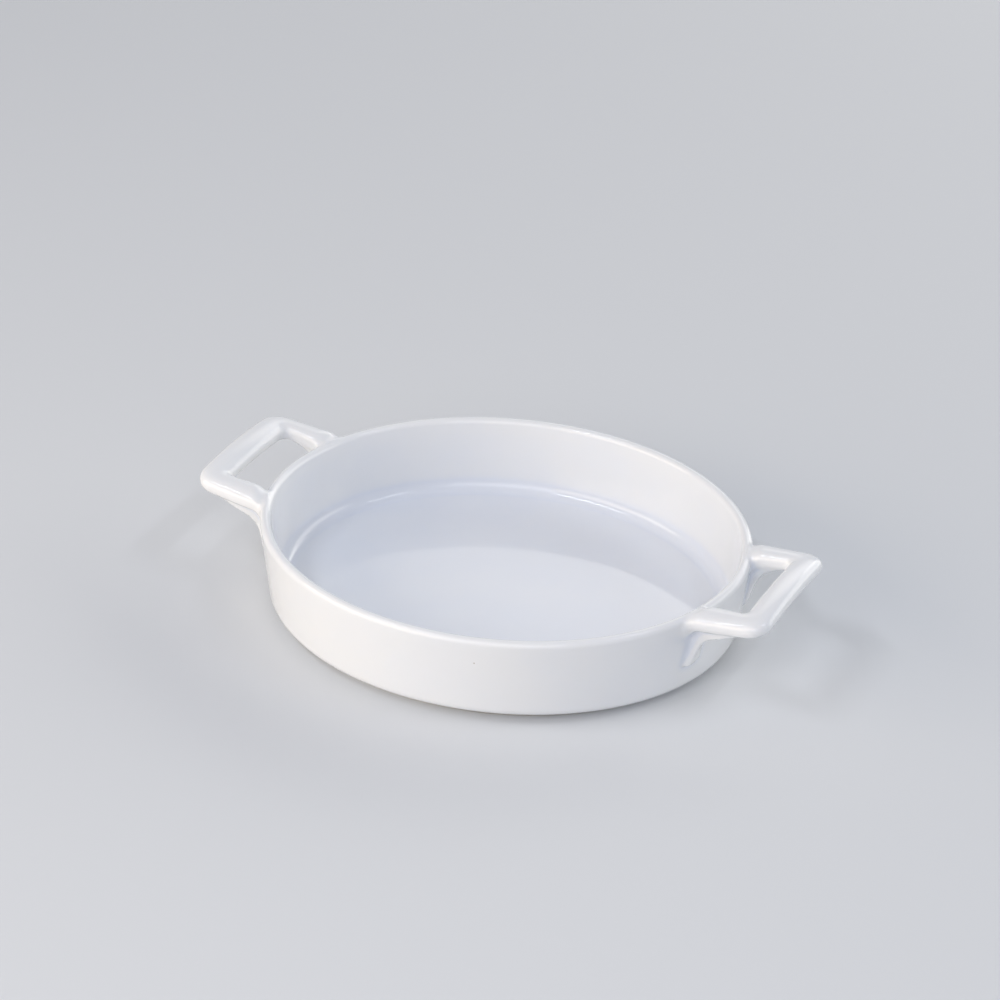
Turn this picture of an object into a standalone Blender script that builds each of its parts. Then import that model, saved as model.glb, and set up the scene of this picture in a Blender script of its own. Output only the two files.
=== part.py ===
# Individual creme brulee dish: an oval porcelain bowl with a cast loop handle luted to each end.
# Metres, +Z up. The origin is the centre of the resting plane, and +X runs along the two handles.

import math

import bmesh
import bpy
from mathutils import Vector

# Bowl, outside
RIM_LENGTH = 0.1200        # over the rim, along the handles
RIM_WIDTH = 0.1080         # over the rim, across the handles
DISH_HEIGHT = 0.0231       # table to the top of the rim
WALL_THICKNESS = 0.0026    # the rim is rounded over this whole thickness
WALL_DRAFT = 0.0021        # how far the foot of the wall stands in from the rim
EDGE_ROUND = 0.0027        # outer bottom edge

# Bowl, inside
FLOOR_TOP = 0.0043         # inner floor above the table
FLOOR_FILLET = 0.0045      # between the inner floor and the wall

# Underside
UNDERSIDE_HEIGHT = 0.0018  # glazed band outside the foot ring, above the table
RECESS_HEIGHT = 0.0013     # shallow recess within the foot ring
FOOT_SETBACK = 0.0042      # foot ring's outer face, in from the foot of the wall
FOOT_WIDTH = 0.0030
FOOT_ROUND = 0.0005

# Handles, in plan
HANDLE_REACH = 0.0150      # outer face of the bar, beyond the end of the rim
HANDLE_WIDTH = 0.0385      # over the legs, at the bar
ROOT_WIDTH = 0.0402        # over the legs, at the end of the rim
BAR_WIDTH = 0.0068
HOLE_WIDTH = 0.0274        # finger hole, at the bar
HOLE_ROOT_WIDTH = 0.0263   # finger hole, at the end of the rim
CORNER_ROUND = 0.0049      # outer corners of the loop
HOLE_ROUND = 0.0031        # its inner corners

# Handles, from the side
LEG_THICKNESS = 0.0046     # at the end of the rim
BAR_THICKNESS = 0.0044
LEG_STEP = 0.0009          # crown of the legs above the rim
BAR_LIFT = 0.00175         # how far the loop climbs from there to its outer face
BAR_BOW = 0.0014           # how far the bar arches up to its middle
LEG_EDGE_DROP = 0.0011     # lower edge of the hole, below the outer edge of the leg
BAR_EDGE_DROP = 0.0003     # and below the outer edge of the bar
SQUARENESS = 2.45          # of the loop's section: 2 is an ellipse, more is squarer
HOLE_EDGE_SQUARENESS = 3.6

# Ogee brackets under the legs
BRACKET_WIDTH = 0.0046
BRACKET_SETBACK = 0.0005   # inner face, back from the hole's side
BRACKET_DROP = 0.0140      # toe below the top of the rim
HOLLOW_REACH = 0.0130      # the hollow under the leg is a quarter of an oval
HOLLOW_RISE = 0.0098
TOE_DEPTH = 0.0021
TOE_LENGTH = 0.0013
TOE_PROUD = 0.0016         # how far the toe stands out from the wall
BRACKET_EDGE = 0.0008      # rounding of its edges

# The luting joint is left open by this much between bowl and handle
LUTING_GAP = 0.0003

# Facets
OVAL_STEPS = 96
SECTION_STEPS = 26

GLAZE_COLOUR = (0.80, 0.80, 0.82, 1.0)
GLAZE_ROUGHNESS = 0.12

LIP_ROUND = WALL_THICKNESS / 2
RIM_END = RIM_LENGTH / 2
RIM_SIDE = RIM_WIDTH / 2


def clear_scene():
    for obj in list(bpy.data.objects):
        bpy.data.objects.remove(obj, do_unlink=True)


def make_collection(name):
    collection = bpy.data.collections.new(name)
    bpy.context.scene.collection.children.link(collection)
    return collection


def glaze(name):
    mat = bpy.data.materials.new(name)
    mat.use_nodes = True
    shader = mat.node_tree.nodes["Principled BSDF"]
    shader.inputs["Base Color"].default_value = GLAZE_COLOUR
    shader.inputs["Roughness"].default_value = GLAZE_ROUGHNESS
    shader.inputs["Metallic"].default_value = 0.0
    mat.diffuse_color = GLAZE_COLOUR
    return mat


def arc(centre, radii, start, end, steps):
    """Points on an arc or a stretch of an ellipse, angles in radians."""
    turns = [start + (end - start) * i / steps for i in range(steps + 1)]
    return [(centre[0] + radii[0] * math.cos(t), centre[1] + radii[1] * math.sin(t)) for t in turns]


def round_corner(before, bend, after, radius, steps):
    """The arc that rounds the bend between two straight lines in plan."""
    to_before = (before - bend).normalized()
    to_after = (after - bend).normalized()
    half = to_before.angle(to_after) / 2
    middle = (to_before + to_after).normalized()
    centre = bend + middle * (radius / math.sin(half))
    first = bend + to_before * (radius / math.tan(half)) - centre
    last = bend + to_after * (radius / math.tan(half)) - centre
    start = math.atan2(first.y, first.x)
    sweep = math.remainder(math.atan2(last.y, last.x) - start, math.tau)
    return [Vector(p) for p in arc(centre, (radius, radius), start, start + sweep, steps)]


def along(start, end, steps):
    """Evenly spaced points of a straight line, without its last."""
    return [start.lerp(end, i / steps) for i in range(steps)]


def loft(bm, rings):
    """A closed body through rings of equal length, capped at both ends."""
    rows = [[bm.verts.new(p) for p in ring] for ring in rings]
    count = len(rows[0])
    for lower, upper in zip(rows, rows[1:]):
        for i in range(count):
            j = (i + 1) % count
            bm.faces.new((lower[i], lower[j], upper[j], upper[i]))
    bm.faces.new(rows[0])
    bm.faces.new(rows[-1])
    bmesh.ops.recalc_face_normals(bm, faces=bm.faces)


def lofted_object(name, rings, collection):
    bm = bmesh.new()
    loft(bm, rings)
    mesh = bpy.data.meshes.new(name)
    bm.to_mesh(mesh)
    bm.free()
    obj = bpy.data.objects.new(name, mesh)
    collection.objects.link(obj)
    return obj


def as_mesh(obj, name):
    """The evaluated shape of an object as a mesh of its own, with its seams welded."""
    bpy.context.view_layer.update()
    mesh = bpy.data.meshes.new_from_object(obj.evaluated_get(bpy.context.evaluated_depsgraph_get()))
    mesh.name = name
    bm = bmesh.new()
    bm.from_mesh(mesh)
    bmesh.ops.remove_doubles(bm, verts=bm.verts, dist=0.000005)
    bm.to_mesh(mesh)
    bm.free()
    return mesh


def shade(mesh, degrees):
    mesh.shade_smooth()
    mesh.set_sharp_from_angle(angle=math.radians(degrees))


def hide_as_cutter(obj):
    obj.hide_render = True
    obj.display_type = "WIRE"


def add_boolean(obj, operation, other):
    modifier = obj.modifiers.new(operation.lower(), "BOOLEAN")
    modifier.operation = operation
    modifier.solver = "EXACT"
    modifier.object = other


def wall_lean():
    """Tilt of the wall's outward normal, below the horizontal because the wall leans out to the rim.

    The wall is the straight line that touches both the rounded rim and the rounded bottom edge.
    """
    run = WALL_DRAFT + EDGE_ROUND - LIP_ROUND
    rise = (DISH_HEIGHT - LIP_ROUND) - (UNDERSIDE_HEIGHT + EDGE_ROUND)
    return math.atan2(rise, run) - math.acos((EDGE_ROUND - LIP_ROUND) / math.hypot(run, rise))


def oval_ring(offset, height):
    """A level oval, offset outwards from the rim's own outline."""
    ring = []
    for i in range(OVAL_STEPS):
        turn = math.tau * i / OVAL_STEPS
        ring.append(((RIM_END + offset) * math.cos(turn), (RIM_SIDE + offset) * math.sin(turn), height))
    return ring


def bowl_profile():
    """(offset from the rim's outline, height) from the middle of the underside round to the inner floor."""
    lean = wall_lean()
    foot_out = -WALL_DRAFT - FOOT_SETBACK
    foot_in = foot_out - FOOT_WIDTH
    foot_radii = (FOOT_ROUND, FOOT_ROUND)
    points = [(foot_in, RECESS_HEIGHT)]
    points += arc((foot_in + FOOT_ROUND, FOOT_ROUND), foot_radii, math.pi, 1.5 * math.pi, 2)
    points += arc((foot_out - FOOT_ROUND, FOOT_ROUND), foot_radii, 1.5 * math.pi, math.tau, 2)
    points.append((foot_out, UNDERSIDE_HEIGHT))

    edge = (-WALL_DRAFT - EDGE_ROUND, UNDERSIDE_HEIGHT + EDGE_ROUND)
    points += arc(edge, (EDGE_ROUND, EDGE_ROUND), -math.pi / 2, lean, 6)
    lip = (-LIP_ROUND, DISH_HEIGHT - LIP_ROUND)
    lip_radii = (LIP_ROUND, LIP_ROUND)
    points += arc(lip, lip_radii, lean, 0, 1)
    points += arc(lip, lip_radii, 0, math.pi / 2, 5)[1:]
    points += arc(lip, lip_radii, math.pi / 2, math.pi + lean, 5)[1:]

    # The inner wall runs parallel to the outer one and touches the floor fillet
    inward = LIP_ROUND + FLOOR_FILLET
    fillet_z = FLOOR_TOP + FLOOR_FILLET
    slide = (lip[1] - inward * math.sin(lean) - fillet_z) / math.cos(lean)
    fillet = (lip[0] - inward * math.cos(lean) + slide * math.sin(lean), fillet_z)
    points += arc(fillet, (FLOOR_FILLET, FLOOR_FILLET), lean, -math.pi / 2, 7)
    return points


def make_bowl(collection):
    bowl = lofted_object("dish_body", [oval_ring(*point) for point in bowl_profile()], collection)
    shade(bowl.data, 40)
    bowl.data.materials.append(glaze("bowl_glaze"))
    return bowl


def wall_offset(height, gap=0.0):
    """Where the wall's outer face is at a height, outwards from the rim's own outline."""
    lean = wall_lean()
    reach = LIP_ROUND + gap
    touch_x = -LIP_ROUND + reach * math.cos(lean)
    touch_z = DISH_HEIGHT - LIP_ROUND + reach * math.sin(lean)
    return touch_x + (touch_z - height) * math.tan(lean)


def make_wall_cutter(collection):
    """The room that the bowl takes up, grown by the luting gap, which shapes the roots of the handles."""
    reach = LIP_ROUND + LUTING_GAP
    touch = arc((-LIP_ROUND, DISH_HEIGHT - LIP_ROUND), (reach, reach), wall_lean(), 0.0, 2)
    bottom = (wall_offset(UNDERSIDE_HEIGHT, LUTING_GAP), UNDERSIDE_HEIGHT)
    top = (touch[-1][0], DISH_HEIGHT + LEG_THICKNESS + BAR_LIFT)
    cutter = lofted_object("wall_cutter", [oval_ring(*point) for point in [bottom, *touch, top]], collection)
    hide_as_cutter(cutter)
    return cutter


def wall_x(y):
    """Where the rim's outline crosses a line that runs along the handles."""
    return RIM_END * math.sqrt(1 - (y / RIM_SIDE) ** 2)


def half_outline(root_half, bar_half, bar_x, radius):
    """One side of the loop in plan: along the leg, round the corner and past the middle of the bar."""
    root_x = wall_x(ROOT_WIDTH / 2) - 2 * WALL_THICKNESS
    spread = (bar_half - root_half) / (bar_x - RIM_END)
    root = Vector((root_x, root_half + spread * (root_x - RIM_END)))
    bend = Vector((bar_x, bar_half))
    past_middle = Vector((bar_x, -BAR_WIDTH / 2))
    corner = round_corner(root, bend, past_middle, radius, 8)
    return along(root, corner[0], 7) + corner + along(past_middle, corner[-1], 3)[::-1]


def crown(x, y):
    """Height of the loop's top, which climbs evenly out from the rim and arches over the bar."""
    out = max(0.0, (x - wall_x(y)) / (RIM_END + HANDLE_REACH - wall_x(y)))
    arch = max(0.0, 1 - (2 * y / HANDLE_WIDTH) ** 2)
    return DISH_HEIGHT + LEG_STEP + BAR_LIFT * out + BAR_BOW * arch


def superellipse(turn, squareness):
    c, s = math.cos(turn), math.sin(turn)
    power = 2 / squareness
    return math.copysign(abs(c) ** power, c), math.copysign(abs(s) ** power, s)


def loop_ring(outer, inner):
    """The rounded section of the loop that spans two matching points of its outlines.

    Its lower inner quarter, the trimmed edge of the finger hole, is squarer and hangs lower near the wall.
    """
    middle = (outer + inner) / 2
    half = (outer - inner) / 2
    out = min(1.0, max(0.0, (middle.x - RIM_END) / (HANDLE_REACH - BAR_WIDTH)))
    height = LEG_THICKNESS + (BAR_THICKNESS - LEG_THICKNESS) * out
    drop = LEG_EDGE_DROP + (BAR_EDGE_DROP - LEG_EDGE_DROP) * out
    ring = []
    for i in range(SECTION_STEPS):
        turn = math.tau * i / SECTION_STEPS
        hole_edge = math.pi < turn < 1.5 * math.pi
        across, up = superellipse(turn, HOLE_EDGE_SQUARENESS if hole_edge else SQUARENESS)
        place = middle + half * across
        below = max(0.0, -up) * (1 - across) / 2 * drop
        ring.append((place.x, place.y, crown(place.x, place.y) + (up - 1) * height / 2 - below))
    return ring


def make_bracket(collection):
    """The ogee bracket: a long hollow under the leg, then a short toe that dies into the wall."""
    middle_y = HOLE_ROOT_WIDTH / 2 + BRACKET_SETBACK + BRACKET_WIDTH / 2
    foot = DISH_HEIGHT - BRACKET_DROP
    shoulder = foot + TOE_DEPTH
    top = DISH_HEIGHT + LEG_STEP - LEG_THICKNESS / 2
    inside = -3 * WALL_THICKNESS
    toe_x = wall_offset(shoulder) + TOE_PROUD
    hollow_x = toe_x + HOLLOW_REACH
    points = [(inside, foot)]
    points += arc((toe_x - TOE_LENGTH, shoulder), (TOE_LENGTH, TOE_DEPTH), -math.pi / 2, 0, 5)
    points += arc((hollow_x, shoulder), (HOLLOW_REACH, HOLLOW_RISE), math.pi, math.pi / 2, 10)[1:]
    points += [(hollow_x, top), (inside, top)]

    outline = bpy.data.curves.new("bracket_outline", "CURVE")
    outline.dimensions = "2D"
    outline.fill_mode = "BOTH"
    outline.extrude = BRACKET_WIDTH / 2
    spline = outline.splines.new("POLY")
    spline.points.add(len(points) - 1)
    for point, (x, z) in zip(spline.points, points):
        point.co = (x, z, 0, 1)
    spline.use_cyclic_u = True

    curve = bpy.data.objects.new("bracket_outline", outline)
    collection.objects.link(curve)
    curve.location = (0, middle_y, 0)
    curve.rotation_euler = (math.pi / 2, 0, 0)
    mesh = as_mesh(curve, "bracket")
    mesh.transform(curve.matrix_world)
    bpy.data.objects.remove(curve)
    for vertex in mesh.vertices:
        vertex.co.x += wall_x(vertex.co.y)  # it follows the oval wall
    bracket = bpy.data.objects.new("bracket", mesh)
    collection.objects.link(bracket)
    rounding = bracket.modifiers.new("rounded_edges", "BEVEL")
    rounding.width = BRACKET_EDGE
    rounding.segments = 3
    rounding.limit_method = "ANGLE"
    rounding.angle_limit = math.radians(60)
    hide_as_cutter(bracket)
    return bracket


def make_handles(parts, cutters):
    outside = half_outline(ROOT_WIDTH / 2, HANDLE_WIDTH / 2, RIM_END + HANDLE_REACH, CORNER_ROUND)
    hole_x = RIM_END + HANDLE_REACH - BAR_WIDTH
    inside = half_outline(HOLE_ROOT_WIDTH / 2, HOLE_WIDTH / 2, hole_x, HOLE_ROUND)
    half = lofted_object("half_loop", [loop_ring(o, i) for o, i in zip(outside, inside)], cutters)
    add_boolean(half, "UNION", make_bracket(cutters))
    add_boolean(half, "DIFFERENCE", make_wall_cutter(cutters))
    mirror = half.modifiers.new("other_leg", "MIRROR")
    mirror.use_axis = (False, True, False)
    mirror.use_bisect_axis = (False, True, False)
    mirror.use_mirror_merge = True
    mirror.merge_threshold = 0.00002
    casting = as_mesh(half, "handle_casting")
    bpy.data.objects.remove(half)

    for name, turn in (("handle_right", 0.0), ("handle_left", math.pi)):
        mesh = casting.copy()
        mesh.name = name
        shade(mesh, 35)
        mesh.materials.clear()
        mesh.materials.append(glaze(name + "_glaze"))
        handle = bpy.data.objects.new(name, mesh)
        handle.rotation_euler = (0, 0, turn)
        parts.objects.link(handle)
    bpy.data.meshes.remove(casting)


def main():
    clear_scene()
    parts = make_collection("creme_brulee_dish")
    cutters = make_collection("cutters")
    make_bowl(parts)
    make_handles(parts, cutters)


main()
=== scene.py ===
import math

import bmesh
import bpy
import numpy as np
from mathutils import Matrix, Vector
from mathutils.bvhtree import BVHTree
from mathutils.interpolate import poly_3d_calc


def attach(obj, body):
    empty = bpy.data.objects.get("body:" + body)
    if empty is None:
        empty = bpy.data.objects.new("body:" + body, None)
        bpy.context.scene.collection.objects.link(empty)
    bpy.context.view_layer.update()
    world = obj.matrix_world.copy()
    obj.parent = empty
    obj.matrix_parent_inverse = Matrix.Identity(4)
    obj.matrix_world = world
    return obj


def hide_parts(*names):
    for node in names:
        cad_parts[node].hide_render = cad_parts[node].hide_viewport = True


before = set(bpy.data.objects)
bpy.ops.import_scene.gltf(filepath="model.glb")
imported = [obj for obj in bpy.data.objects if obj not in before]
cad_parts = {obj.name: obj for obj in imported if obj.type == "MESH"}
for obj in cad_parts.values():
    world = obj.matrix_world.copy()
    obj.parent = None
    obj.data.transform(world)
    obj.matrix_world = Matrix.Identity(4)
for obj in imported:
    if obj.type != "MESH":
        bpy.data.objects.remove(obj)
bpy.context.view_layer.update()        # bodies, nodes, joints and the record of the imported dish
print("frame:", ", ".join(sorted(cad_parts)))

mm = 0.001               # every length below is metres, written as so many mm


# Camera, at the photograph's viewing angle

cameraSetup = {
    "azimuth": 25.51,          # degrees round from the front, towards the right handle
    "elevation": 29.13,
    "roll": 1.70,
    "distance": 880.0 * mm,    # along the view, to the point under the middle of the dish
    "datumHeight": 1.3 * mm,   # that point lies this far above the table
    "imageSize": 1000.0,       # pixels, both ways
    "focalPixels": 3641.0,
    "datumAcross": 503.26,     # where that point falls in the image
    "datumDown": 602.01,
    "sensor": 36.0,            # millimetres, as the camera takes it
}


def makeCamera(setup):
    turn = math.radians(setup["azimuth"])
    rise = math.radians(setup["elevation"])
    roll = math.radians(setup["roll"])
    back = Vector((math.sin(turn) * math.cos(rise), -math.cos(turn) * math.cos(rise), math.sin(rise)))
    level = Vector((math.cos(turn), math.sin(turn), 0.0))
    upright = back.cross(level)
    right = level * math.cos(roll) + upright * math.sin(roll)
    up = upright * math.cos(roll) - level * math.sin(roll)
    perPixel = setup["distance"] / setup["focalPixels"]
    across = (setup["datumAcross"] - setup["imageSize"] / 2) * perPixel
    above = (setup["imageSize"] / 2 - setup["datumDown"]) * perPixel
    place = back * setup["distance"] - right * across - up * above
    place.z += setup["datumHeight"]

    data = bpy.data.cameras.new("photoCamera")
    data.sensor_width = setup["sensor"]
    data.lens = setup["sensor"] * setup["focalPixels"] / setup["imageSize"]
    data.clip_start = 0.01
    data.clip_end = 20.0
    camera = bpy.data.objects.new("photoCamera", data)
    bpy.context.scene.collection.objects.link(camera)
    axes = Matrix((right, up, back)).transposed()
    camera.matrix_world = Matrix.Translation(place) @ axes.to_4x4()
    bpy.context.scene.camera = camera


makeCamera(cameraSetup)
print("camera ready")


# Shapes that the skin is drawn over: the bowl, half of a loop and one bracket.
# The other legs are the same ones seen through the two mirror planes of the dish.

bowlShape = {
    "rimLength": 120.0 * mm,
    "rimWidth": 108.0 * mm,
    "height": 23.1 * mm,
    "wall": 2.6 * mm,            # the lip is rounded over the whole of it
    "draft": 2.1 * mm,           # the wall leans out this much from foot to lip
    "bottomRound": 2.7 * mm,
    "floorTop": 4.3 * mm,
    "floorFillet": 3.2 * mm,
    "underside": 1.8 * mm,       # glazed band outside the foot ring
    "recess": 1.3 * mm,
    "footSetback": 4.2 * mm,
    "footWidth": 3.0 * mm,
    "footRound": 0.5 * mm,
    "around": 540,               # points in each ring
}


def arc(centre, radius, start, end, steps):
    turns = np.linspace(start, end, steps + 1)
    return [(centre[0] + radius * math.cos(t), centre[1] + radius * math.sin(t)) for t in turns]


def bowlProfile(shape):
    # (inset from the rim, height) from the middle of the underside round to the inner floor
    lip = shape["wall"] / 2
    edge = shape["bottomRound"]
    fillet = shape["floorFillet"]
    foot = shape["footRound"]
    run = shape["draft"] + edge - lip
    rise = (shape["height"] - lip) - (shape["underside"] + edge)
    lean = math.atan2(rise, run) - math.acos((edge - lip) / math.hypot(run, rise))
    footOut = -shape["draft"] - shape["footSetback"]
    footIn = footOut - shape["footWidth"]

    points = arc((footIn - foot, shape["recess"] - foot), foot, math.pi / 2, 0, steps=4)
    points += arc((footIn + foot, foot), foot, math.pi, 1.5 * math.pi, steps=6)
    points += arc((footOut - foot, foot), foot, 1.5 * math.pi, math.tau, steps=6)
    points += arc((footOut + foot, shape["underside"] - foot), foot, math.pi, math.pi / 2, steps=4)
    points += arc((-shape["draft"] - edge, shape["underside"] + edge), edge, -math.pi / 2, lean, steps=26)
    lipSpot = (-lip, shape["height"] - lip)
    points += arc(lipSpot, lip, lean, math.pi + lean, steps=40)
    inward = lip + fillet
    filletTop = shape["floorTop"] + fillet
    slide = (lipSpot[1] - inward * math.sin(lean) - filletTop) / math.cos(lean)
    spot = (lipSpot[0] - inward * math.cos(lean) + slide * math.sin(lean), filletTop)
    points += arc(spot, fillet, lean, -math.pi / 2, steps=34)
    return points


def meshFromRings(name, rings):
    count = len(rings[0])
    middles = [np.mean(rings[0], axis=0), np.mean(rings[-1], axis=0)]
    spots = [tuple(p) for ring in rings for p in ring] + [tuple(m) for m in middles]
    faces = []
    for r in range(len(rings) - 1):
        for i in range(count):
            j = (i + 1) % count
            faces.append((r * count + i, r * count + j, (r + 1) * count + j, (r + 1) * count + i))
    last = (len(rings) - 1) * count
    for i in range(count):
        j = (i + 1) % count
        faces.append((j, i, len(spots) - 2))
        faces.append((last + i, last + j, len(spots) - 1))
    mesh = bpy.data.meshes.new(name)
    mesh.from_pydata(spots, [], faces)
    solid = bmesh.new()
    solid.from_mesh(mesh)
    bmesh.ops.recalc_face_normals(solid, faces=solid.faces)
    solid.to_mesh(mesh)
    solid.free()
    return mesh


def makeBowl(shape):
    rings = []
    for inset, height in bowlProfile(shape):
        turns = np.linspace(0, math.tau, shape["around"], endpoint=False)
        long = (shape["rimLength"] / 2 + inset) * np.cos(turns)
        wide = (shape["rimWidth"] / 2 + inset) * np.sin(turns)
        rings.append(np.column_stack((long, wide, np.full(len(turns), height))))
    return meshFromRings("bowlCore", rings)


loopShape = {
    "reach": 15.0 * mm,          # outer face of the bar, beyond the end of the rim
    "width": 38.5 * mm,          # over the legs at the bar
    "rootWidth": 40.2 * mm,      # over the legs at the wall
    "barWidth": 7.0 * mm,
    "holeWidth": 27.4 * mm,
    "holeRootWidth": 26.0 * mm,
    "cornerRound": 4.9 * mm,
    "holeRound": 3.0 * mm,       # at the lower edge of the hole
    "holeTopRound": 1.2 * mm,    # higher up its corners are tight, so short valleys run out from them
    "legThickness": 4.6 * mm,
    "barThickness": 4.4 * mm,
    "rootDrop": 0.3 * mm,        # the hole's lower edge lies below the outer one by this at the wall
    "barDrop": -0.45 * mm,       # and by this at the bar, where it is higher
    "step": 1.1 * mm,            # a leg rises this much from the middle of the lip
    "stepEnd": 2.5 * mm,         # and has risen it this far out from the wall
    "lift": 1.55 * mm,           # its further rise, even along the leg and over the bar
    "bow": 1.35 * mm,            # the bar arches up to its middle
    "squareness": 2.45,          # 2 is an ellipse, more is squarer
    "innerSquareness": 3.6,      # the lower edge of the hole is crisper
    "sectionSteps": 56,
    "legSteps": 16,
    "cornerSteps": 24,
    "barSteps": 10,
}


def wallX(y):
    return bowlShape["rimLength"] / 2 * math.sqrt(1 - (2 * y / bowlShape["rimWidth"]) ** 2)


def halfOutline(rootHalf, barHalf, barX, radius, shape):
    rimEnd = bowlShape["rimLength"] / 2
    rootX = wallX(rootHalf) - 0.5 * bowlShape["wall"]
    spread = (barHalf - rootHalf) / (barX - rimEnd)
    root = Vector((rootX, rootHalf + spread * (rootX - rimEnd)))
    bend = Vector((barX, barHalf))
    end = Vector((barX, -shape["barWidth"] / 2))
    toRoot, toEnd = (root - bend).normalized(), (end - bend).normalized()
    half = toRoot.angle(toEnd) / 2
    middle = (toRoot + toEnd).normalized()
    centre = bend + middle * (radius / math.sin(half))
    first = bend + toRoot * (radius / math.tan(half))
    last = bend + toEnd * (radius / math.tan(half))
    start = math.atan2(first.y - centre.y, first.x - centre.x)
    sweep = math.remainder(math.atan2(last.y - centre.y, last.x - centre.x) - start, math.tau)
    legSteps, barSteps = shape["legSteps"], shape["barSteps"]
    points = [root.lerp(first, i / legSteps) for i in range(legSteps)]
    points += [Vector(p) for p in arc(centre, radius, start, start + sweep, shape["cornerSteps"])]
    points += [last.lerp(end, (i + 1) / barSteps) for i in range(barSteps)]
    return points


def smooth(low, high, value):
    t = np.clip((value - low) / (high - low), 0.0, 1.0)
    return t * t * (3 - 2 * t)


def loopHeight(x, y, shape):
    away = x - wallX(y)
    full = bowlShape["rimLength"] / 2 + shape["reach"] - wallX(y)
    rise = shape["step"] * smooth(-bowlShape["wall"] / 2, shape["stepEnd"], away)
    rise += shape["lift"] * max(0.0, away / full)
    rise += shape["bow"] * max(0.0, 1 - (2 * y / shape["width"]) ** 2)
    return bowlShape["height"] + rise


def makeLoop(shape):
    rimEnd = bowlShape["rimLength"] / 2
    outerX = rimEnd + shape["reach"]
    outside = halfOutline(shape["rootWidth"] / 2, shape["width"] / 2, outerX, shape["cornerRound"], shape)
    hole = (shape["holeRootWidth"] / 2, shape["holeWidth"] / 2, outerX - shape["barWidth"])
    inside = halfOutline(*hole, shape["holeRound"], shape)
    insideTop = halfOutline(*hole, shape["holeTopRound"], shape)
    rings = []
    for outer, inner, innerTop in zip(outside, inside, insideTop):
        middle = (outer + inner) / 2
        out = smooth(0.0, 1.0, (middle.x - rimEnd) / (shape["reach"] - shape["barWidth"]))
        thick = shape["legThickness"] + (shape["barThickness"] - shape["legThickness"]) * out
        drop = shape["rootDrop"] + (shape["barDrop"] - shape["rootDrop"]) * out
        ring = []
        for turn in np.linspace(0, math.tau, shape["sectionSteps"], endpoint=False):
            under = math.cos(turn) < 0 and math.sin(turn) < 0
            power = 2 / (shape["innerSquareness"] if under else shape["squareness"])
            across = math.copysign(abs(math.cos(turn)) ** power, math.cos(turn))
            up = math.copysign(abs(math.sin(turn)) ** power, math.sin(turn))
            place = outer.lerp(inner.lerp(innerTop, (1 + up) / 2), (1 - across) / 2)
            below = max(0.0, -up) * (1 - across) / 2 * drop
            height = loopHeight(place.x, place.y, shape) + (up - 1) * thick / 2 - below
            ring.append((place.x, place.y, height))
        rings.append(ring)
    return meshFromRings("loopCore", rings)


bracketShape = {
    # out from the rim's outline and up from the table, from the toe to the underside of the leg
    "ogee": [(-1.5, 9.1), (-0.4, 9.25), (0.15, 10.1), (0.7, 12.2), (1.5, 14.4), (3.0, 16.45),
             (5.0, 17.9), (7.9, 19.15), (10.5, 20.25), (12.6, 21.1)],
    # the same on its face towards the hole, where it is fuller hollowed
    "hollow": [(-2.0, 9.65), (-1.0, 9.75), (-0.55, 10.5), (-0.2, 12.3), (0.25, 14.8), (1.4, 17.3),
               (3.4, 19.3), (6.3, 20.9), (9.4, 21.9), (12.2, 22.4)],
    # its two faces at the same heights, off the middle of the handle
    "inner": [13.5, 13.5, 13.5, 13.6, 13.6, 13.6, 13.7, 13.8, 14.0, 14.3],
    "outer": [18.2, 18.1, 17.9, 17.4, 17.2, 17.6, 18.3, 18.6, 18.5, 18.2],
    "steps": 8,                  # between two of those
    "edgeRound": 0.5 * mm,
    "edgeGrowth": 0.7 * mm,      # it gets rounder towards the hole, all of this at the leg's end
    "slices": 17,
    # behind the faces: up inside the wall, then out inside the leg from the bend on
    "hidden": [(-3.2, 10.1), (-1.9, 21.9), (12.4, 24.4)],
    "bend": 0.55,
}


def smoothCurve(points, steps):
    # Catmull-Rom curve through the points
    spots = [Vector(p) for p in points]
    ends = [2 * spots[0] - spots[1]] + spots + [2 * spots[-1] - spots[-2]]
    curve = []
    for a, b, c, d in zip(ends, ends[1:], ends[2:], ends[3:]):
        for i in range(steps):
            t = i / steps
            curve.append(0.5 * ((2 * b) + (c - a) * t + (2 * a - 5 * b + 4 * c - d) * t ** 2
                                + (3 * b - a - 3 * c + d) * t ** 3))
    return curve + [spots[-1]]


def makeBracket(shape):
    steps = shape["steps"]
    curve = smoothCurve([(x * mm, z * mm) for x, z in shape["ogee"]], steps)
    hollow = smoothCurve([(x * mm, z * mm) for x, z in shape["hollow"]], steps)
    faces = smoothCurve([(a * mm, b * mm) for a, b in zip(shape["inner"], shape["outer"])], steps)
    bend = shape["bend"]
    foot, root, end = [Vector(p) * mm for p in shape["hidden"]]
    rings = []
    for i, (spot, (inner, outer)) in enumerate(zip(curve, faces)):
        along = (curve[min(i + 1, len(curve) - 1)] - curve[max(i - 1, 0)]).normalized()
        normal = Vector((along.y, -along.x))
        centre, half = (outer + inner) / 2, (outer - inner) / 2
        share = i / (len(curve) - 1)
        past = (share - bend) / (1 - bend)
        hidden = foot.lerp(root, share / bend) if share < bend else root.lerp(end, past)
        ring = []
        for turn in np.linspace(0, math.pi, shape["slices"]):
            y = centre - math.cos(turn) * half
            place = spot.lerp(hollow[i], (outer - y) / (outer - inner))
            edge = shape["edgeRound"] + (shape["edgeGrowth"] * share if turn < math.pi / 2 else 0.0)
            place -= normal * edge * (1 - math.sqrt(math.sin(turn)))
            ring.append((wallX(y) + place.x, y, place.y))
        for side in (1, 0.5, 0, -0.5, -1):
            y = centre + side * half
            ring.append((wallX(y) + hidden.x, y, hidden.y))
        rings.append(ring)
    return meshFromRings("bracketCore", rings)


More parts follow.
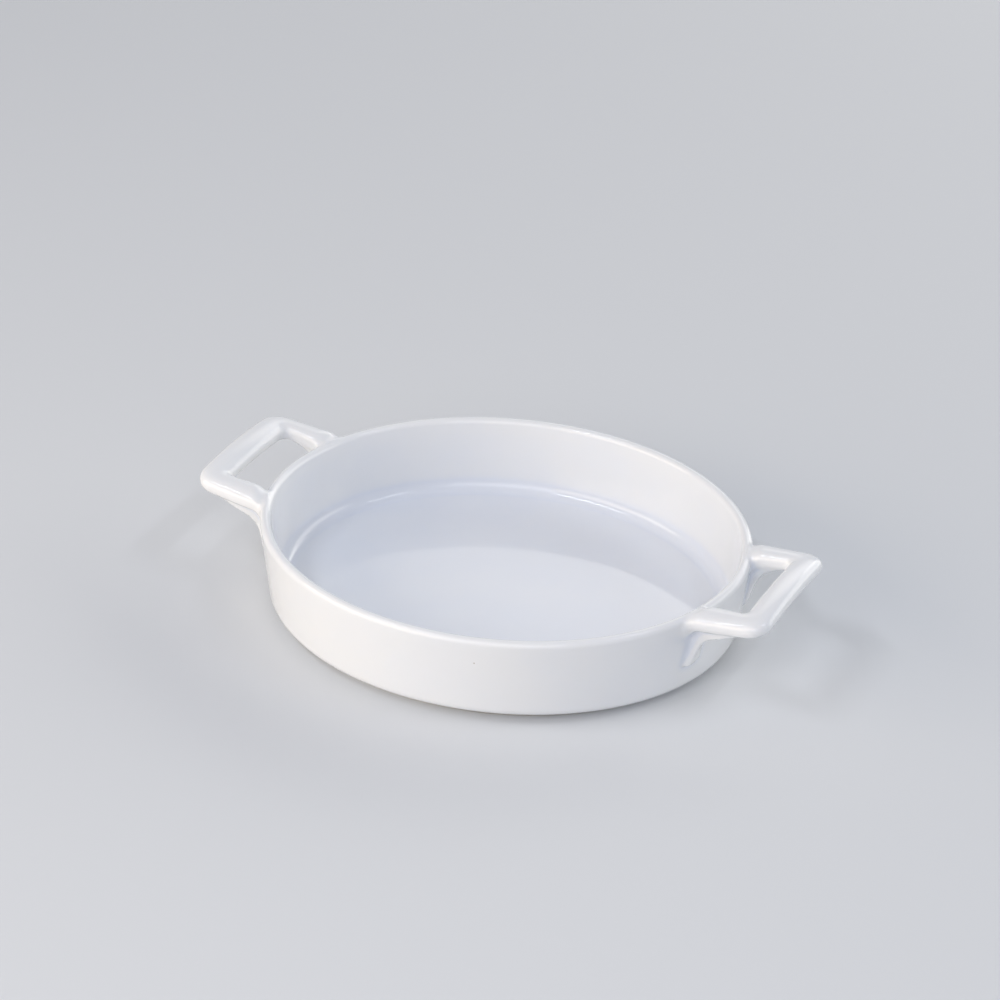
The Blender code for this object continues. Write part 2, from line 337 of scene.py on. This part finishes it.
# One glaze covers the bowl and both handles, so they get one skin.
# Each point of a voxel remesh is pulled to where the softened union of the three shapes is.

skinShape = {
    "voxel": 0.45 * mm,
    "flare": 2.4 * mm,           # reach of the soft joint on the outer side of a leg
    "fold": 1.6 * mm,            # on its inner side, in the finger hole
    "top": 1.0 * mm,             # along the lip
    "bracket": 0.7 * mm,         # reach round a bracket
    "acrossLeg": (15.5 * mm, 19.0 * mm),     # from the leg's inner side to its outer, off the long axis
    "overLip": (21.0 * mm, 23.0 * mm),       # heights between which the lip's reach takes over
    "insideRim": (-2.2 * mm, -0.6 * mm),     # the joint fades away between these, in from the rim's outline
    "leastReach": 0.01,          # share of the reach that is left there
    "handleStart": 46.0 * mm,    # no handle shows nearer to the middle than this
    "handleHalf": 30.0 * mm,     # or farther off the long axis
    "pulls": 6,
    "relaxing": 3,               # of them are followed by a smoothing
    "relaxShare": 0.5,
    "hollowRounds": 36,            # of smoothing, which reach about 2 mm
    "hollowShare": 0.8,
    "hollowDepth": 0.20 * mm,      # a hollow this deep over that reach gets the full cooler tint: thicker glaze and painted shade
    "levelShade": 0.6,            # share of that tint on the level floor, which is painted shade there
    "levelSlope": (0.85, 0.98),
    "quickCoarser": 1.6,
}


def distanceTo(core, points):
    tree, mesh = core
    squarely = 0.98              # a spot that faces the point less than this lies on an edge
    steady = 0.05 * mm           # keeps the slope from flipping close to the surface
    depth = np.empty(len(points))
    slope = np.empty((len(points), 3))
    for i, point in enumerate(points.tolist()):
        spot, normal, face, away = tree.find_nearest(point)
        offset = Vector(point) - spot
        if abs(offset.dot(normal)) < squarely * away:    # there one face can't tell in from out
            corners = [mesh.vertices[v] for v in mesh.polygons[face].vertices]
            shares = poly_3d_calc([c.co for c in corners], spot)
            normal = sum((c.normal * share for c, share in zip(corners, shares)), Vector())
        side = 1.0 if offset.dot(normal) >= 0 else -1.0
        depth[i] = away * side
        slope[i] = (normal * steady + offset * side).normalized()
    return depth, slope


def softUnion(depthA, slopeA, depthB, slopeB, reach):
    share = np.clip(0.5 + 0.5 * (depthB - depthA) / reach, 0.0, 1.0)
    depth = depthA * share + depthB * (1 - share) - reach * share * (1 - share)
    slope = slopeA * share[:, None] + slopeB * (1 - share)[:, None]
    return depth, slope


def pullToSkin(points, cores, shape):
    # One step of every point towards the softened surface, and the slope there
    depth, slope = distanceTo(cores["bowl"], points)
    near = (np.abs(points[:, 0]) > shape["handleStart"]) & (np.abs(points[:, 1]) < shape["handleHalf"])
    sides = np.sign(points[near] + 1e-12)        # which quarter a point lies in, never 0
    sides[:, 2] = 1.0
    folded = points[near] * sides
    loopDepth, loopSlope = distanceTo(cores["loop"], folded)
    rimHalf = bowlShape["rimLength"] / 2
    fromRim = (np.hypot(folded[:, 0] / rimHalf, folded[:, 1] * 2 / bowlShape["rimWidth"]) - 1) * rimHalf
    reach = shape["fold"] + (shape["flare"] - shape["fold"]) * smooth(*shape["acrossLeg"], folded[:, 1])
    reach += (shape["top"] - reach) * smooth(*shape["overLip"], folded[:, 2])
    reach *= smooth(*shape["insideRim"], fromRim) + shape["leastReach"]
    newDepth, newSlope = softUnion(depth[near], slope[near] * sides, loopDepth, loopSlope, reach)
    bracketDepth, bracketSlope = distanceTo(cores["bracket"], folded)
    newDepth, newSlope = softUnion(newDepth, newSlope, bracketDepth, bracketSlope, shape["bracket"])
    depth[near] = newDepth
    slope[near] = newSlope * sides
    steep = np.maximum(np.sum(slope * slope, axis=1), 0.2)       # no leap where the slopes cancel out
    return points - slope * (depth / steep)[:, None], slope


def relaxed(points, edges, share):
    count = np.bincount(edges.ravel(), minlength=len(points))
    total = np.empty_like(points)
    for axis in range(3):
        column = points[:, axis]
        total[:, axis] = np.bincount(edges[:, 0], column[edges[:, 1]], len(points))
        total[:, axis] += np.bincount(edges[:, 1], column[edges[:, 0]], len(points))
    return points + share * (total / count[:, None] - points)


def joinedObject(name, meshes):
    spots, faces = [], []
    for mesh, flips in meshes:
        start = len(spots)
        spots += [(v.co.x * flips[0], v.co.y * flips[1], v.co.z) for v in mesh.vertices]
        order = 1 if flips[0] * flips[1] > 0 else -1
        faces += [tuple(start + i for i in list(p.vertices)[::order]) for p in mesh.polygons]
    mesh = bpy.data.meshes.new(name)
    mesh.from_pydata(spots, [], faces)
    obj = bpy.data.objects.new(name, mesh)
    bpy.context.scene.collection.objects.link(obj)
    return obj


def makeSkin(shape):
    coarser = 1.0
    bowl, loop, bracket = makeBowl(bowlShape), makeLoop(loopShape), makeBracket(bracketShape)
    cores = {}
    for name, mesh in (("bowl", bowl), ("loop", loop), ("bracket", bracket)):
        spots = [v.co for v in mesh.vertices]
        cores[name] = (BVHTree.FromPolygons(spots, [tuple(p.vertices) for p in mesh.polygons]), mesh)
    quarters = [(1, 1), (1, -1), (-1, 1), (-1, -1)]
    parts = [(bowl, (1, 1))] + [(mesh, q) for q in quarters for mesh in (loop, bracket)]
    rough = joinedObject("roughSkin", parts)
    remesh = rough.modifiers.new("remesh", "REMESH")
    remesh.mode = "VOXEL"
    remesh.voxel_size = shape["voxel"] * coarser
    bpy.context.view_layer.update()
    mesh = bpy.data.meshes.new_from_object(rough.evaluated_get(bpy.context.evaluated_depsgraph_get()))
    bpy.data.objects.remove(rough)
    print("skin: voxel mesh of", len(mesh.vertices), "points")

    points = np.empty(len(mesh.vertices) * 3)
    mesh.vertices.foreach_get("co", points)
    points = points.reshape(-1, 3)
    edges = np.empty(len(mesh.edges) * 2, dtype=np.int32)
    mesh.edges.foreach_get("vertices", edges)
    edges = edges.reshape(-1, 2)
    for turn in range(shape["pulls"]):
        points, slope = pullToSkin(points, cores, shape)
        if turn < shape["relaxing"]:
            points = relaxed(points, edges, shape["relaxShare"])
    slope = relaxed(slope, edges, shape["relaxShare"])
    slope /= np.linalg.norm(slope, axis=1)[:, None]

    # The glaze ran off the edges and gathered in the hollows: how far smoothing moves a point tells which it
    # is. The hollows also get painted shade from the same value
    evened = points
    for turn in range(round(shape["hollowRounds"] / coarser ** 2)):
        evened = relaxed(evened, edges, shape["hollowShare"])
    depthShade = np.sum((evened - points) * slope, axis=1) / shape["hollowDepth"]
    level = smooth(*shape["levelSlope"], slope[:, 2]) * (points[:, 2] < bowlShape["height"] / 2)
    # the level floor gets painted shade too
    depthShade = np.maximum(depthShade, level * shape["levelShade"])
    layer = mesh.attributes.new("glazeDepthShade", "FLOAT", "POINT")
    layer.data.foreach_set("value", np.clip(depthShade, -1.0, 1.0))
    mesh.vertices.foreach_set("co", points.ravel())
    mesh.name = "porcelainSkin"
    mesh.update()
    mesh.shade_smooth()
    mesh.normals_split_custom_set_from_vertices(slope.tolist())
    skin = bpy.data.objects.new("porcelain_skin", mesh)
    bpy.context.scene.collection.objects.link(skin)
    return skin


skin = makeSkin(skinShape)
print("skin ready")


# Materials

def linear(hexColour):
    # sRGB hex to the linear colour that the shader takes
    parts = [int(hexColour[i:i + 2], 16) / 255 for i in (1, 3, 5)]
    return [p / 12.92 if p <= 0.04045 else ((p + 0.055) / 1.055) ** 2.4 for p in parts] + [1.0]


def addNode(tree, kind, inputs=None, **settings):
    # inputs holds values, and sockets of other nodes to link from
    node = tree.nodes.new(kind)
    for key, value in settings.items():
        setattr(node, key, value)
    for key, value in (inputs or {}).items():
        if isinstance(value, bpy.types.NodeSocket):
            tree.links.new(value, node.inputs[key])
        else:
            node.inputs[key].default_value = value
    return node


glaze = {
    "body": "#ECEDEE",           # hard white body seen through the clear coat
    "thickAndShaded": "#E3E7EF",         # cooler and darker on the floor, in fillets and at the joints: partly thicker glaze, partly painted shade
    "thin": "#F0F0F0",           # and where it drew thin, over the lip and other edges
    "mottleShare": 0.2,          # how full its faint thicker clouds are
    "shine": (0.045, 0.085),     # roughness, from the wettest patches to the dullest
    "index": 1.51,               # feldspar glass
    "softness": 0.06,            # light goes a little way into the body
    "softReach": 0.9 * mm,
    "softColours": (1.0, 0.85, 0.7),
    "peelHeight": 0.012 * mm,
    "swayHeight": 0.10 * mm,
    "speckCell": 15.0 * mm,      # one speck at most in each
    "speckShare": 0.22,          # cells that have one
    "speckSize": 0.17 * mm,      # radius, about twice the real one, which would be lost in the picture
    "speck": "#B9B2A8",
    "bare": "#D9D2C6",           # wiped foot, warm dull biscuit
    "bareGrain": "#CFC7BA",
    "bareTop": 0.75 * mm,        # glaze line above the table
    "bareEdge": 0.08 * mm,
    "bareWander": 0.35 * mm,
    "bareRough": 0.62,
    "grainHeight": 0.02 * mm,
    "noises": {                  # size and detail of each
        "mottle": (16.0 * mm, 3.0),
        "shine": (11.0 * mm, 2.0),
        "peel": (5.0 * mm, 1.0),     # waves that the coat froze in
        "sway": (28.0 * mm, 1.0),    # unevenness of the cast wall itself
        "wander": (7.0 * mm, 2.0),   # of the glaze line
        "grain": (0.9 * mm, 4.0),    # drawn three times coarser than real biscuit
    },
}


def glazedPorcelain(look):
    # Cast porcelain, dipped in feldspar glaze and fired hard: white, with a wet shine over a soft body.
    # It is lightly waved like still water, and bare only on the foot that it stood on in the kiln.
    material = bpy.data.materials.new("dippedGlazeOnCastPorcelain")
    material.use_nodes = True
    tree = material.node_tree
    place = addNode(tree, "ShaderNodeTexCoord").outputs["Object"]
    height = addNode(tree, "ShaderNodeSeparateXYZ", {"Vector": place}).outputs["Z"]
    # how thick the glaze lies, with painted shade in the hollows and on the level floor
    depthShade = addNode(tree, "ShaderNodeAttribute", attribute_name="glazeDepthShade").outputs["Fac"]
    cells = addNode(tree, "ShaderNodeTexVoronoi", {"Vector": place, "Scale": 1 / look["speckCell"]}).outputs
    noise = {}
    for name, (size, detail) in look["noises"].items():
        inputs = {"Vector": place, "Scale": 1 / size, "Detail": detail}
        noise[name] = addNode(tree, "ShaderNodeTexNoise", inputs).outputs["Fac"]

    line, wander, radius = look["bareTop"], look["bareWander"] / 2, look["speckSize"] / look["speckCell"]
    ranges = {
        # the value, what it goes from and to, and what that becomes
        "clouds": (noise["mottle"], 0.35, 0.65, 0.0, look["mottleShare"]),
        # cooler tint in hollows and on the floor: thicker glaze and painted shade
        "full": (depthShade, 0.0, 1.0, 0.0, 1.0),
        "thin": (depthShade, -0.1, -1.0, 0.0, 1.0),
        "dot": (cells["Distance"], radius * 0.6, radius * 1.4, 1.0, 0.0),
        "shine": (noise["shine"], 0.3, 0.7, *look["shine"]),
        "glazeLine": (noise["wander"], 0.3, 0.7, line + wander, line - wander),
    }
    share = {}
    for name, values in ranges.items():
        inputs = dict(zip(("Value", "From Min", "From Max", "To Min", "To Max"), values))
        share[name] = addNode(tree, "ShaderNodeMapRange", inputs).outputs["Result"]

    # thicker glaze with its clouds, plus painted shade in hollows and on the floor
    inputs = {0: share["full"], 1: share["clouds"]}
    thick = addNode(tree, "ShaderNodeMath", inputs, operation="ADD").outputs[0]
    draw = addNode(tree, "ShaderNodeSeparateColor", {"Color": cells["Color"]}).outputs[0]
    draw = addNode(tree, "ShaderNodeMath", {0: draw, 1: look["speckShare"]}, operation="LESS_THAN").outputs[0]
    speck = addNode(tree, "ShaderNodeMath", {0: share["dot"], 1: draw}, operation="MULTIPLY").outputs[0]
    inputs = {0: height, 1: share["glazeLine"]}
    above = addNode(tree, "ShaderNodeMath", inputs, operation="SUBTRACT").outputs[0]
    edge = look["bareEdge"]
    inputs = {"Value": above, "From Min": -edge, "From Max": edge, "To Min": 1.0, "To Max": 0.0}
    bare = addNode(tree, "ShaderNodeMapRange", inputs).outputs["Result"]

    inputs = {0: noise["grain"], 6: linear(look["bare"]), 7: linear(look["bareGrain"])}
    biscuit = addNode(tree, "ShaderNodeMix", inputs, data_type="RGBA").outputs[2]
    layers = (thick, linear(look["thickAndShaded"])), (share["thin"], linear(look["thin"]))
    layers += (speck, linear(look["speck"])), (bare, biscuit)
    colour = linear(look["body"])
    for part, layer in layers:
        colour = addNode(tree, "ShaderNodeMix", {0: part, 6: colour, 7: layer}, data_type="RGBA").outputs[2]

    dull = addNode(tree, "ShaderNodeMath", {0: bare, 1: look["bareRough"]}, operation="MULTIPLY").outputs[0]
    shine = addNode(tree, "ShaderNodeMath", {0: share["shine"], 1: dull}, operation="MAXIMUM").outputs[0]
    grain = addNode(tree, "ShaderNodeMath", {0: noise["grain"], 1: bare}, operation="MULTIPLY").outputs[0]
    relief = 0.0
    for wave, size in ((noise["peel"], "peelHeight"), (noise["sway"], "swayHeight"), (grain, "grainHeight")):
        inputs = {0: wave, 1: look[size], 2: relief}
        relief = addNode(tree, "ShaderNodeMath", inputs, operation="MULTIPLY_ADD").outputs[0]
    bump = addNode(tree, "ShaderNodeBump", {"Height": relief, "Distance": 1.0}).outputs["Normal"]

    shader = tree.nodes["Principled BSDF"]
    shader.inputs["IOR"].default_value = look["index"]
    shader.inputs["Subsurface Weight"].default_value = look["softness"]
    shader.inputs["Subsurface Scale"].default_value = look["softReach"]
    shader.inputs["Subsurface Radius"].default_value = look["softColours"]
    for socket, value in (("Base Color", colour), ("Roughness", shine), ("Normal", bump)):
        tree.links.new(value, shader.inputs[socket])
    return material


skin.data.materials.clear()
skin.data.materials.append(glazedPorcelain(glaze))
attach(skin, "root")
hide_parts("dish_body", "handle_left", "handle_right")


# Floor, light and view

studio = {
    "floorSize": 6.0,
    "floorColour": "#DCDEE0",
    "floorRough": 0.8,
    "backdrop": "#E6E7E9",       # seen directly and in the glaze, and lights nothing
    "ambient": 0.29,
    "ambientColour": "#DFE9FF",
}


def makeFloor():
    half = studio["floorSize"] / 2
    mesh = bpy.data.meshes.new("floor")
    corners = [(-half, -half, 0), (half, -half, 0), (half, half, 0), (-half, half, 0)]
    mesh.from_pydata(corners, [], [(0, 1, 2, 3)])
    floor = bpy.data.objects.new("floor", mesh)
    bpy.context.scene.collection.objects.link(floor)
    material = bpy.data.materials.new("paleBoard")
    material.use_nodes = True
    shader = material.node_tree.nodes["Principled BSDF"]
    shader.inputs["Base Color"].default_value = linear(studio["floorColour"])
    shader.inputs["Roughness"].default_value = studio["floorRough"]
    mesh.materials.append(material)


lamps = {
    # degrees anticlockwise from the right handle and up, metres away, size in metres, watts
    "key": {"round": 231, "up": 16, "away": 1.0, "size": (1.2, 0.70), "power": 7.5, "colour": "#FFEFD8"},
    "fill": {"round": 54, "up": 18, "away": 1.3, "size": (1.9, 0.85), "power": 10.2, "colour": "#FFFBF2"},
    "front": {"round": 288, "up": 36, "away": 1.0, "size": (0.80, 0.60), "power": 2.7, "colour": "#F8F9FF"},
    "back": {"round": 98, "up": 30, "away": 1.0, "size": (0.73, 0.45), "power": 0.85, "colour": "#FFFAF4",
             "hotMiddle": True},
    "leftStrip": {"round": 230, "up": 56, "away": 1.0, "size": (0.46, 0.06), "power": 1.4,
                  "colour": "#F4F7FF"},
    "rightStrip": {"round": 8, "up": 57, "away": 1.0, "size": (0.40, 0.05), "power": 0.7,
                   "colour": "#F4F7FF"},
}


def softenEdges(data):
    # A cloth box light is brightest in its middle
    data.use_nodes = True
    tree = data.node_tree
    place = addNode(tree, "ShaderNodeNewGeometry").outputs["Parametric"]
    across = addNode(tree, "ShaderNodeSeparateXYZ", {"Vector": place}).outputs
    share = 36.0                 # so that it averages 1 and the lamp keeps its power
    for axis in ("X", "Y"):
        rest = addNode(tree, "ShaderNodeMath", {0: 1.0, 1: across[axis]}, operation="SUBTRACT").outputs[0]
        for part in (across[axis], rest):
            share = addNode(tree, "ShaderNodeMath", {0: share, 1: part}, operation="MULTIPLY").outputs[0]
    tree.links.new(share, tree.nodes["Emission"].inputs["Strength"])


def makeLamps():
    for name, setup in lamps.items():
        turn, rise = math.radians(setup["round"]), math.radians(setup["up"])
        data = bpy.data.lights.new(name, "AREA")
        data.shape = "RECTANGLE"
        data.size, data.size_y = setup["size"]
        data.energy = setup["power"]
        data.color = linear(setup["colour"])[:3]
        if setup.get("hotMiddle"):
            softenEdges(data)
        lamp = bpy.data.objects.new(name, data)
        lamp.location = Vector((math.cos(turn) * math.cos(rise), math.sin(turn) * math.cos(rise),
                                math.sin(rise))) * setup["away"]
        lamp.rotation_euler = (-lamp.location).to_track_quat("-Z", "Y").to_euler()
        bpy.context.scene.collection.objects.link(lamp)


def makeWorld():
    world = bpy.data.worlds.new("studio")
    bpy.context.scene.world = world
    world.use_nodes = True
    tree = world.node_tree
    tree.nodes.clear()
    rays = addNode(tree, "ShaderNodeLightPath").outputs
    seen = 0.0
    for ray in ("Is Camera Ray", "Is Glossy Ray", "Is Transmission Ray"):
        seen = addNode(tree, "ShaderNodeMath", {0: seen, 1: rays[ray]}, operation="MAXIMUM").outputs[0]
    soft = {"Color": linear(studio["ambientColour"]), "Strength": studio["ambient"]}
    soft = addNode(tree, "ShaderNodeBackground", soft).outputs[0]
    plain = {"Color": linear(studio["backdrop"]), "Strength": 1.0}
    plain = addNode(tree, "ShaderNodeBackground", plain).outputs[0]
    mix = addNode(tree, "ShaderNodeMixShader", {0: seen, 1: soft, 2: plain}).outputs[0]
    addNode(tree, "ShaderNodeOutputWorld", {"Surface": mix})


makeFloor()
makeLamps()
makeWorld()
bpy.context.scene.view_settings.view_transform = "Standard"
print("studio ready")
